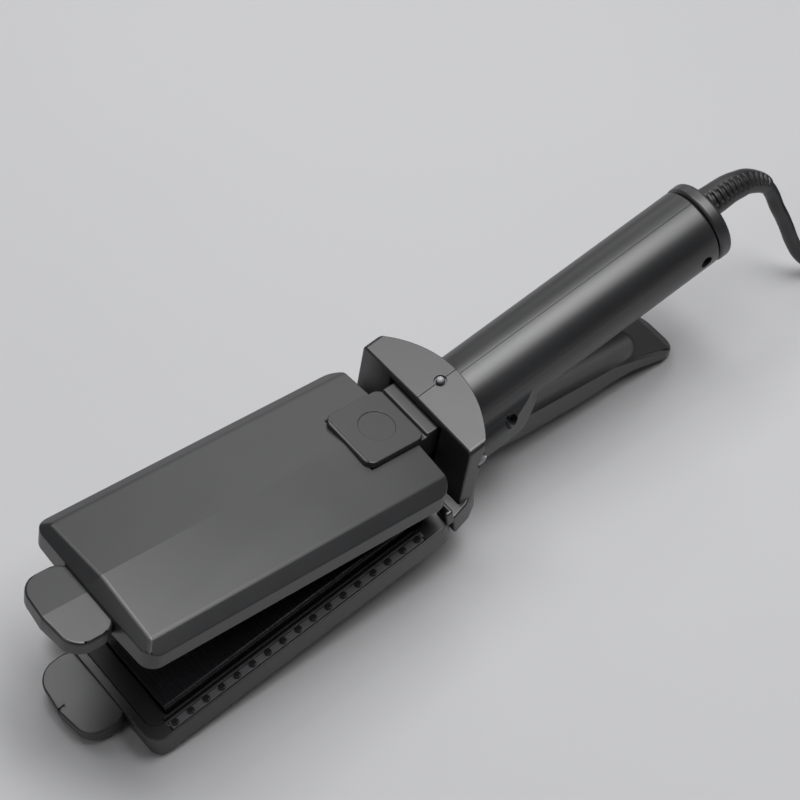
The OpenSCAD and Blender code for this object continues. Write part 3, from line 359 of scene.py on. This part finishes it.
def corner_room(sharp, length):
    """The width that each sharp edge has length for: at each end, a rounding takes its width times
    the tangent of half the largest turn there. Also gives the pairs that run on in one line."""
    number = {line: i for i, line in enumerate(sharp)}
    spent, pairs = np.full(len(sharp), TINY), []
    for line, i in number.items():
        for end in line.verts:
            heading = line.other_vert(end).co - end.co
            others = [o for o in end.link_edges if o in number and o != line]
            turns = [math.pi - heading.angle(o.other_vert(end).co - end.co) for o in others]
            spent[i] += math.tan(min(max(turns, default=0.0), math.pi / 2) / 2)
            pairs += [(i, number[o]) for o, turn in zip(others, turns) if turn < RUN_ON_ANGLE]
    return length / spent, np.array(pairs or [(0, 0)])


def least_in_line(width, pairs):
    """Each width lowered to the least among the edges that run on in one line with it."""
    lower = width.copy()
    np.minimum.at(lower, pairs[:, 0], width[pairs[:, 1]])
    while (lower < width).any():
        width = lower.copy()
        np.minimum.at(lower, pairs[:, 0], width[pairs[:, 1]])
    return lower


def rounding_widths(made, sharp, edge, seam):
    """The wanted width on each sharp edge, lowered to a share of the room beside it, of the
    shortest soft edge at its ends and of the width its turns leave. Edges that run on in one line
    share the least width."""
    ties = np.array([[v.index for v in line.verts] for line in made.edges])
    spot = np.array([v.co[:] for v in made.verts])
    crisp = np.zeros(len(ties), bool)
    crisp[[line.index for line in sharp]] = True
    ends = spot[ties[crisp]]
    on_seam = np.abs(ends[:, :, 1]).max(axis=1) < ON_SEAM * MM
    turning, pairs = corner_room(sharp, np.linalg.norm(ends[:, 0] - ends[:, 1], axis=1))
    rooms = [
        np.where(on_seam, seam or edge, edge) * MM,
        SIDE_SHARE * side_room(ends[:, 0], ends[:, 1]),
        SLIDE_SHARE * slide_room(spot, ties, crisp),
        TURN_SHARE * turning,
    ]
    return least_in_line(np.min(rooms, axis=0), pairs)


def rounded_copy(
    name, body, source, edge, segments=3, crease=CREASE_ANGLE, seam=None, crumbs=None, holes=(),
):
    """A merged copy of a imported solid: doubles joined, flat faces dissolved into one, and outer
    edges rounded to `edge` mm by a bevel as far as there is room. Edges on the plane y = 0 are
    rounded to `seam` mm instead, if given, and edges close to a hole's x and z aren't rounded.
    What isn't rounded stays crisp where it bends by `crease` or more. If `crumbs` is given, tiny
    edges more than that many mm from the plane are closed up first. The copy stands for the solid."""
    mesh = node[source].data.copy()
    mesh.name = name
    made = bmesh.new()
    made.from_mesh(mesh)
    bmesh.ops.remove_doubles(made, verts=made.verts, dist=SAME_POINT * MM)
    bmesh.ops.dissolve_limit(made, angle_limit=FLAT_ANGLE, verts=made.verts, edges=made.edges)
    if crumbs:
        outer = [line for line in made.edges if min(abs(v.co.y) for v in line.verts) > crumbs * MM]
        bmesh.ops.dissolve_degenerate(made, dist=CRUMB * MM, edges=outer)
    weight = made.edges.layers.float.new("bevel_weight_edge")
    for face in made.faces:
        face.smooth = True
    sharp = []
    made.verts.index_update()
    made.edges.index_update()
    for line in made.edges:
        bend = line.calc_face_angle_signed(0.0)
        line.smooth = abs(bend) < crease
        x, _, z = (line.verts[0].co + line.verts[1].co) / 2
        clear = all(math.hypot(x - hole[0], z - hole[1]) > HOLE_CLEAR * MM for hole in holes)
        if bend > OUTER_ANGLE and clear:
            sharp.append(line)
    for line, width in zip(sharp, rounding_widths(made, sharp, edge, seam).tolist()):
        line[weight] = width / (edge * MM)
        line.smooth = True
    made.to_mesh(mesh)
    made.free()
    piece = bpy.data.objects.new(name, mesh)
    bpy.context.scene.collection.objects.link(piece)
    bevel = piece.modifiers.new("mould_radius", "BEVEL")
    bevel.width = edge * MM
    bevel.segments = segments
    bevel.limit_method = "WEIGHT"
    bevel.use_clamp_overlap = False
    piece.modifiers.new("even_shading", "WEIGHTED_NORMAL").keep_sharp = True
    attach(piece, body)
    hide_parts(source)
    return piece


def moulded(name, colour, roughness, grain=0.35, depth=0.01, sheen=0.5):
    """Moulded plastic: a fine spark-eroded grain, slow drifts in colour and gloss where the melt
    flowed, and faint rubbed streaks along the object. Grain size and depth are in mm."""
    f = Finish(name)
    drift = f.noise(22, 3)
    grains = f.noise(1000 / grain, 2)
    rubbed = f.noise(60, 5, stretch=(0.25, 1.6, 1.6), roughness=0.65).band(0.56, 0.74)
    dark = tuple(c * 0.84 for c in colour) + (1,)
    light = tuple(c * 1.16 + 0.001 for c in colour) + (1,)
    tone = f.mix(drift.band(0.3, 0.7), dark, light)
    gloss = roughness - 0.05 + 0.05 * drift + 0.04 * rubbed + 0.05 * grains
    return f.feed(
        Base_Color=tone, Roughness=gloss, Specular_IOR_Level=sheen, Normal=f.bump(grains, depth * MM, 0.6),
    )


def metal(name, colour, roughness, scratch=(90, 900, 900)):
    """Bare or plated metal: brightness and gloss broken by fine drawn lines and a soft tarnish."""
    f = Finish(name)
    lines = f.noise(1.0, 4, stretch=scratch)
    tarnish = f.noise(120, 3).band(0.35, 0.75)
    dull = tuple(c * 0.72 for c in colour) + (1,)
    tone = f.mix(tarnish * 0.6 + 0.4 * lines, tuple(colour) + (1,), dull)
    gloss = roughness + 0.12 * tarnish + 0.1 * lines
    return f.feed(Base_Color=tone, Metallic=1.0, Roughness=gloss, Normal=f.bump(lines, 0.00001, 0.5))


exit_point = placed(CORD_EXIT) / MM
lying_z = CORD_D / 2
steps = np.array(CORD_STEPS, float)
route = np.stack([
    exit_point[0] + steps[:, 0],
    exit_point[1] + steps[:, 1],
    np.maximum(lying_z, lying_z + steps[:, 2] * (exit_point[2] - lying_z)),
], axis=1)
lead = smooth_path(route, LEAD_POINTS_A_STEP)
lead[:, 2] = np.maximum(lead[:, 2], lying_z)
run_in = route[-1] - route[-2]
turns = COIL_LAYERS * TURNS_A_LAYER + COIL_END_TURN
coil, tail_heading = coil_path(route[-1], math.atan2(run_in[1], run_in[0]), turns, COIL_POINTS)
tail_dir = np.array([math.cos(tail_heading), math.sin(tail_heading), 0])
tail_start = coil[-1] + CORD_D * tail_dir
drop = np.array(TAIL_STEPS, float)
tail = tail_start + drop[:, :1] * tail_dir
tail[:, 2] = PLUG_T / 2 + drop[:, 1] * (tail_start[2] - PLUG_T / 2)
cord_line = np.vstack([lead, coil[1:], smooth_path(tail, TAIL_POINTS_A_STEP)]) * MM

cord = tube("mains_cord", cord_line, CORD_D / 2 * MM, CORD_SIDES)
paint(cord, cord_pvc())
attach(cord, "handle")
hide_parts("cord_lead", "cord_coil", "cord_tail")

strap = rounded_copy("coil_strap", "handle", "cord_tie", 0.2)
paint(strap, moulded("strap_black", (0.012, 0.012, 0.013), 0.62, grain=0.7, depth=0.06))

plug = rounded_copy("plug", "handle", "plug_body", 1.1, segments=4)
paint(plug, moulded("plug_black", (0.02, 0.02, 0.022), 0.42, grain=0.5, depth=0.02))
plug_blades = rounded_copy("plug_blades", "handle", "plug_pins", 0.2)
paint(plug_blades, metal("plug_brass", (0.72, 0.55, 0.3), 0.24))

# Strain relief: a black rubber boot moulded on the cord. A ring stands on the cap, then the boot
# tapers along the bend, cut by two rows of short slots so that it flexes, between smooth spines.
RELIEF_ROOT_D = 12.6
RELIEF_RIBS = 14
SLOT_DEPTH = 1.1
SLOT_SIDE = math.radians(33)
RING_LEN = 1.5
RING_D = 14.2
RELIEF_TIP_D = CORD_D + 1.2
SLOT_OPENS, SLOT_CLOSES, SLOT_FADE = (0.36, 0.5), (0.86, 1.0), 0.45
SLOT_WINDOW = (0.84, 0.93)
SLOTS_END = 0.93
TIP_ROUNDING = 0.5
TIP_SINK = 0.02
RELIEF_LEAD_POINTS = 46
RELIEF_RINGS, RELIEF_SIDES = 320, 48


def even_path(points, count):
    """The same curve at `count` evenly spaced points, each found by its length along it."""
    run = run_length(points)
    at = np.linspace(0, run[-1], count)
    return np.stack([np.interp(at, run, points[:, k]) for k in range(3)], axis=1)


def relief_boot():
    """Radius = taper along the boot, less the slots: a slot's share along each rib pitch times a
    window round the ring that is open on two sides. Near the root a rounded ring stands instead,
    and at the tip the radius rounds down into the cord. Four more rings lie inside the cap."""
    hidden = placed([(CORD_EXIT[0] - d, CORD_EXIT[1], CORD_EXIT[2]) for d in (4.0, 3.0, 2.0, 1.0)]) / MM
    line = even_path(lead[: RELIEF_LEAD_POINTS + 1], RELIEF_RINGS)
    length = run_length(line)[-1]
    s = np.linspace(0, 1, len(line))[:, None]
    turn = np.linspace(0, 2 * math.pi, RELIEF_SIDES, endpoint=False)[None, :]
    taper = RELIEF_ROOT_D / 2 - s * s * (RELIEF_ROOT_D - RELIEF_TIP_D) / 2
    ring_end = RING_LEN / length
    pitch = ((s - ring_end) / (1 - ring_end) * RELIEF_RIBS) % 1
    slot = step_up(pitch, *SLOT_OPENS) * (1 - step_up(pitch, *SLOT_CLOSES))
    slot = slot * (s > ring_end) * (s < SLOTS_END)
    window = step_up(np.abs(np.cos(turn - SLOT_SIDE)), *SLOT_WINDOW)
    radius = taper - SLOT_DEPTH * (1 - SLOT_FADE * s) * slot * window
    bead = np.clip(1 - ((s / ring_end) * 2 - 1) ** 4, 0, 1) ** 0.5
    radius = np.where(s < ring_end, taper + (RING_D / 2 - RELIEF_ROOT_D / 2) * bead, radius)
    lip = np.clip((1 - s) * length / TIP_ROUNDING, 0, 1)
    tip = CORD_D / 2 - TIP_SINK
    radius = tip + (radius - tip) * np.sqrt(lip * (2 - lip))
    root = np.full((len(hidden), RELIEF_SIDES), RELIEF_ROOT_D / 2)
    return np.vstack([hidden, line]) * MM, np.vstack([root, radius]) * MM


boot_line, boot_radii = relief_boot()
boot = tube("cord_boot", boot_line, boot_radii, RELIEF_SIDES, up=(0, 0, 1))
paint(boot, moulded("boot_rubber", (0.017, 0.017, 0.018), 0.38, grain=0.6, depth=0.012))
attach(boot, "handle")
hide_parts("strain_relief")

# Handle: two half shells of black moulded plastic with the collar and the flared skirt in one,
# joined on a seam along the top and bottom by two screws, and closed at the tail by a cap.
SEAM_EDGE = 0.3
SHELL_EDGE = 0.9
shell_black = moulded("shell_black", (0.019, 0.0192, 0.0205), 0.38, sheen=0.8)

# The x and z of the two handle screws: the means of the front and of the rear screw's points.
screw_points = np.array([v.co[:] for v in node["handle_screws"].data.vertices])[:, ::2]
front = screw_points[:, 0] < screw_points[:, 0].mean()
screw_spots = [screw_points[front].mean(axis=0), screw_points[~front].mean(axis=0)]
for side in ("near", "far"):
    shell = rounded_copy(
        "handle_" + side, "handle", "handle_shell_" + side, SHELL_EDGE,
        crease=OUTER_ANGLE, seam=SEAM_EDGE, holes=screw_spots,
    )
    paint(shell, shell_black)
end_cap = rounded_copy("end_cap", "handle", "tail_cap", 1.1, segments=5)
paint(end_cap, shell_black)

# Collar lamp: a small domed lens of smoke-grey plastic on the collar's top. It shows when the plates
# are heated, and is pushed into its hole from inside.
LAMP_X, LAMP_D = 11.3, 3.2


def handle_coords(f):
    """Object coordinates turned back into the handle's own frame, in mm."""
    t = REST_TILT
    back = (
        -REST_SHIFT * math.cos(t) - REST_LIFT * math.sin(t),
        0,
        REST_SHIFT * math.sin(t) - REST_LIFT * math.cos(t),
    )
    values = {"Vector": f.place(), "Scale": (1000, 1000, 1000), "Rotation": (0, t, 0), "Location": back}
    return f.node("ShaderNodeMapping", {}, values)


def axis_of(f, vector, which):
    """One axis of a vector: 0, 1 or 2 for x, y or z."""
    return f.node("ShaderNodeSeparateXYZ", {}, {"Vector": vector}, output=which)


def lamp_lens():
    """Smoke-grey lens with light and shade painted in: a painted highlight makes it paler at its crown and
    painted shade darker towards its edge, with a hazy swirl.
    """
    f = Finish("lamp_lens")
    at = handle_coords(f)
    x = (axis_of(f, at, 0) - LAMP_X) * (2 / LAMP_D)
    y = axis_of(f, at, 1) * (2 / LAMP_D)
    # Painted highlight at the lens's crown, fading to painted shade at its edge.
    painted_highlight_to_shade = (x * x + y * y).band(0.25, 1.0)
    haze = f.noise(900, 3)
    tone = f.mix(painted_highlight_to_shade * 0.8 + haze * 0.2, (0.42, 0.42, 0.43, 1), (0.1, 0.1, 0.105, 1))
    return f.feed(Base_Color=tone, Roughness=0.1 + 0.1 * haze, IOR=1.5)


paint(node["indicator_lamp"], lamp_lens())

# Metal fastenings: cross-headed zinc-plated screws, and a hinge pin with a cap nut, whose polished
# slotted heads lie in recesses of the collar's sides.
screw_zinc = metal("screw_zinc", (0.2, 0.2, 0.21), 0.34)
for fastening in (
    "handle_screws", "jaw_screws", "lower_tray_screws", "upper_tray_screws", "tongue_screws",
):
    paint(node[fastening], screw_zinc)
pin_steel = metal("pin_steel", (0.3, 0.3, 0.31), 0.22)
for part, source in (("hinge_pin_rounded", "hinge_pin"), ("hinge_nut_rounded", "hinge_nut")):
    fastener = rounded_copy(part, "handle", source, 0.25)
    paint(fastener, pin_steel)

# Return spring: four close curls of spring wire round the pin, inside the collar. One leg bears on
# the lever, the other on a stop in the far shell, so the curls wind up as the lever is squeezed.
PIN_X, PIN_Z = 5.4, 7.6
SPRING_R, SPRING_WIRE, SPRING_CURLS = 4.2, 1.0, 4
SPRING_Y = (9.0, 13.5)
SPRING_POINTS_A_CURL, SPRING_SIDES = 32, 12


def spring_line():
    """A helix about the pin, radius and pitch steady, with a straight leg down at its first end and
    one up at its last. Its first eighth of a turn is left out, where the leg bends into it."""
    angle = np.linspace(0, 2 * math.pi * SPRING_CURLS, SPRING_POINTS_A_CURL * SPRING_CURLS + 1)
    angle = angle[SPRING_POINTS_A_CURL // 8 : -1]
    share = angle / (2 * math.pi * SPRING_CURLS)
    y = SPRING_Y[0] + (SPRING_Y[1] - SPRING_Y[0]) * share
    helix = np.stack([PIN_X + SPRING_R * np.cos(angle), y, PIN_Z + SPRING_R * np.sin(angle)], axis=1)
    leg = np.array([PIN_X + SPRING_R, 0, PIN_Z])
    first = [leg + (0, SPRING_Y[0], -d) for d in (5.0, 4.0, 3.0)]
    last = [leg + (0, SPRING_Y[1], d) for d in (2.2, 3.1, 4.0)]
    return placed(np.vstack([first, helix, last]))


spring = tube("spring_curls", spring_line(), SPRING_WIRE / 2 * MM, SPRING_SIDES)
paint(spring, metal("spring_steel", (0.55, 0.56, 0.57), 0.28, scratch=(400, 400, 400)))
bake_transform(spring)
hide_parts("return_spring")

# Control board: a green circuit board held in slots of the tube's ribs, with its relay, filter
# block and smoothing capacitor standing on it.
BOARD_T = 1.6


def board_finish():
    """Solder-masked glass board with copper runs as a grid that noise breaks up, and black parts
    wherever the surface stands clear of the board's two faces."""
    f = Finish("board_green")
    at = handle_coords(f)
    z = axis_of(f, at, 2)
    standing = z.band(BOARD_T + 0.05, BOARD_T + 0.12) + (0 - z).band(0.05, 0.12)
    black, white = (0, 0, 0, 1), (1, 1, 1, 1)
    bricks = {
        "Vector": at, "Scale": 0.22, "Mortar Size": 0.06, "Color1": black, "Color2": black, "Mortar": white,
    }
    runs = f.node("ShaderNodeTexBrick", {"offset": 0.5}, bricks, output=1)
    broken = f.noise(260, 2).band(0.45, 0.5)
    mask = f.mix(runs * broken, (0.012, 0.09, 0.035, 1), (0.04, 0.2, 0.09, 1))
    tone = f.mix(standing, mask, (0.03, 0.03, 0.032, 1))
    return f.feed(Base_Color=tone, Roughness=0.35 + 0.2 * broken, Normal=f.bump(runs, 0.00004))


paint(node["control_board"], board_finish())

# Lower jaw: a black tray in the handle's plastic, with a ledge round its rim. It carries a tray of
# heat-proof plastic with the lower heating plate, its heater and the clamp that presses them up. The
# upper jaw holds a tray, plate, heater and clamp of the same kind.
lower_jaw = rounded_copy("lower_jaw", "handle", "lower_jaw_base", 0.8)
paint(lower_jaw, shell_black)

carrier_black = moulded("carrier_black", (0.012, 0.012, 0.013), 0.5, grain=0.5, depth=0.015)
for part, body, source in (
    ("lower_tray", "handle", "lower_plate_carrier"), ("upper_tray", "lever", "upper_plate_carrier"),
):
    tray = rounded_copy(part, body, source, 0.25)
    paint(tray, carrier_black)


def plate_coat():
    """Dark ceramic coat on the plate: a fine sparkle of mica, and long rub marks where hair runs
    across it."""
    f = Finish("plate_coat")
    across = f.noise(1.0, 4, stretch=(900, 40, 200))
    flecks = f.noise(2600, 1).band(0.62, 0.7)
    tone = f.mix(flecks, (0.022, 0.0225, 0.025, 1), (0.07, 0.07, 0.075, 1))
    gloss = 0.24 + 0.07 * across
    return f.feed(Base_Color=tone, Metallic=0.3, Roughness=gloss, Normal=f.bump(across, 0.000003))


def heater_ceramic():
    """White alumina: a chalky mottle with a few grey specks."""
    f = Finish("heater_ceramic")
    mottle = f.noise(160, 4)
    speck = f.noise(1900, 1).band(0.7, 0.74)
    chalk = f.mix(mottle.band(0.3, 0.7), (0.72, 0.7, 0.63, 1), (0.82, 0.8, 0.74, 1))
    tone = f.mix(speck, chalk, (0.4, 0.39, 0.36, 1))
    return f.feed(Base_Color=tone, Roughness=0.45 + 0.15 * mottle, Normal=f.bump(mottle, 0.00003))


coat = plate_coat()
ceramic = heater_ceramic()
clamp_steel = metal("clamp_steel", (0.6, 0.61, 0.62), 0.3)
for part, body, source in (
    ("lower_hot_plate", "handle", "lower_plate"), ("upper_hot_plate", "lever", "upper_plate"),
):
    hot_plate = rounded_copy(part, body, source, 0.2)
    paint(hot_plate, coat)
for jaw in ("lower", "upper"):
    paint(node[jaw + "_heater"], ceramic)
    paint(node[jaw + "_heater_clamp"], clamp_steel)
paint(node["thermal_fuse"], metal("fuse_brass", (0.7, 0.56, 0.32), 0.26))

# Comb strips: grey plastic strips let into the lower jaw's ledge, each with a row of dark domed
# nubs that guide the hair.
STRIP_TOP = -8.2
ABOVE_STRIP = 0.05
strip_grey = moulded("strip_grey", (0.12, 0.121, 0.125), 0.32)
nub_black = moulded("nub_black", (0.016, 0.016, 0.017), 0.26)
for side in ("near", "far"):
    strip = rounded_copy("comb_" + side, "handle", "comb_strip_" + side, 0.2, segments=2)
    paint(strip, strip_grey)
    strip.data.materials.append(nub_black)
    centres = np.empty(len(strip.data.polygons) * 3, dtype=np.float32)
    strip.data.polygons.foreach_get("center", centres)
    x, _, z = (centres.reshape(-1, 3).T / MM).astype(float)
    height = -(x - REST_SHIFT) * math.sin(REST_TILT) + (z - REST_LIFT) * math.cos(REST_TILT)
    strip.data.polygons.foreach_set("material_index", (height > STRIP_TOP + ABOVE_STRIP).astype(np.int32))

# Rest feet: two rubber studs under the lower jaw's tip, which keep the hot jaw off the table. They are
# pressed into sockets in its floor.
feet = rounded_copy("feet", "handle", "rest_feet", 0.4)
paint(feet, moulded("foot_rubber", (0.018, 0.018, 0.018), 0.7, grain=0.8, depth=0.04))

# Squeeze lever and upper jaw: the lever's trough, arm and tongue are one moulding. The upper jaw's
# cover sits on the tongue, and a tile hides the two screws that hold it.
for part, source, edge, crumbs in (
    ("lever", "squeeze_lever", 0.7, None),
    ("tongue_tile", "tongue_plate", 0.5, None),
    ("upper_jaw", "upper_jaw_cover", 1.0, 25),
):
    moulding = rounded_copy(part, "lever", source, edge, crumbs=crumbs)
    paint(moulding, shell_black)

# Lever's saddle: the smooth hollow between the lever's flanks that the handle's tube nests in when
# the lever is squeezed. It is one moulding with the lever, in the same plastic.
OPEN_ANGLE = math.radians(15.5)
NEST_R = 16.45
SADDLE_HALF = 10.9
SADDLE_T = 1.2
SADDLE_ROWS, SADDLE_COLS = 121, 41
SADDLE_CREASE = math.radians(40)
FLANK_TOP = [(31, -8.6), (80, -9.2), (93, -10.4), (105, -13.4), (121.5, -19), (126.7, -20.7)]


def saddle_skin():
    """Height = the lower of the flanks' top line and the tube's own round, -sqrt(r^2 - y^2), over
    the lever's length and width; closed below at an even thickness and turned open about the pin."""
    x = np.linspace(FLANK_TOP[0][0], FLANK_TOP[-1][0], SADDLE_ROWS)[:, None]
    y = np.linspace(SADDLE_HALF, -SADDLE_HALF, SADDLE_COLS)[None, :]
    line = np.array(FLANK_TOP, float)
    top = np.minimum(np.interp(x, line[:, 0], line[:, 1]), -np.sqrt(NEST_R**2 - y * y))
    under = top[:, ::-1] - SADDLE_T
    z = np.hstack([top, under]) - PIN_Z
    across = np.broadcast_to(np.hstack([y, -y]), z.shape)
    dx = np.broadcast_to(x - PIN_X, z.shape)
    c, s = math.cos(OPEN_ANGLE), math.sin(OPEN_ANGLE)
    grid = placed(np.stack([PIN_X + dx * c + z * s, across, PIN_Z - dx * s + z * c], axis=-1))
    saddle = grid_mesh("lever_saddle", grid)
    saddle.data.set_sharp_from_angle(angle=SADDLE_CREASE)
    return saddle


saddle = saddle_skin()
paint(saddle, shell_black)
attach(saddle, "lever")

# Floor and light: a plain pale table under a large soft box with a brighter middle, a dimmer box
# over the jaws' far side, two weak ones behind on the right and one before the tip.
FLOOR_SIZE = 8
half = FLOOR_SIZE / 2
floor_mesh = bpy.data.meshes.new("floor")
floor_corners = [(-half, -half, 0), (half, -half, 0), (half, half, 0), (-half, half, 0)]
floor_mesh.from_pydata(floor_corners, [], [(0, 1, 2, 3)])
floor = bpy.data.objects.new("floor", floor_mesh)
bpy.context.scene.collection.objects.link(floor)
f = Finish("floor_pale")
cloud = f.noise(3, 2)
paint(floor, f.feed(Base_Color=f.mix(cloud, (0.49, 0.49, 0.5, 1), (0.55, 0.55, 0.56, 1)), Roughness=0.7))

world = bpy.data.worlds.new("studio")
world.use_nodes = True
bpy.context.scene.world = world
sky = world.node_tree.nodes["Background"]
sky.inputs["Color"].default_value = (0.92, 0.95, 1.0, 1)
sky.inputs["Strength"].default_value = 0.06


def soft_lamp(name, place, aim, width, height, radiance):
    """A rectangular lamp of the given radiance: its watts are radiance times pi times its area."""
    lamp = bpy.data.lights.new(name, "AREA")
    lamp.shape = "RECTANGLE"
    lamp.size = width
    lamp.size_y = height
    lamp.energy = radiance * math.pi * width * height
    made = bpy.data.objects.new(name, lamp)
    bpy.context.scene.collection.objects.link(made)
    made.location = place
    made.rotation_euler = (Vector(aim) - Vector(place)).to_track_quat("-Z", "Y").to_euler()


soft_lamp("overhead", (0.27, -0.1, 1.25), (0.27, -0.1, 0), 0.5, 1.0, 6.4)
soft_lamp("overhead_core", (0.25, 0.0, 1.26), (0.25, 0.0, 0), 0.26, 0.5, 6)
soft_lamp("over_jaws", (-0.02, 0.62, 1.25), (-0.02, 0.62, 0), 0.75, 0.55, 4.6)
soft_lamp("behind_right", (1.1, 1.1, 1.25), (0, 0, 0.04), 0.6, 0.6, 2.6)
soft_lamp("behind_low", (0.62, 1.07, 0.45), (0, 0, 0.05), 0.5, 0.5, 1.2)
soft_lamp("before_tip", (-0.97, -0.1, 0.95), (-0.1, 0, 0.03), 0.5, 0.5, 2.2)
bpy.context.scene.view_settings.view_transform = "Standard"
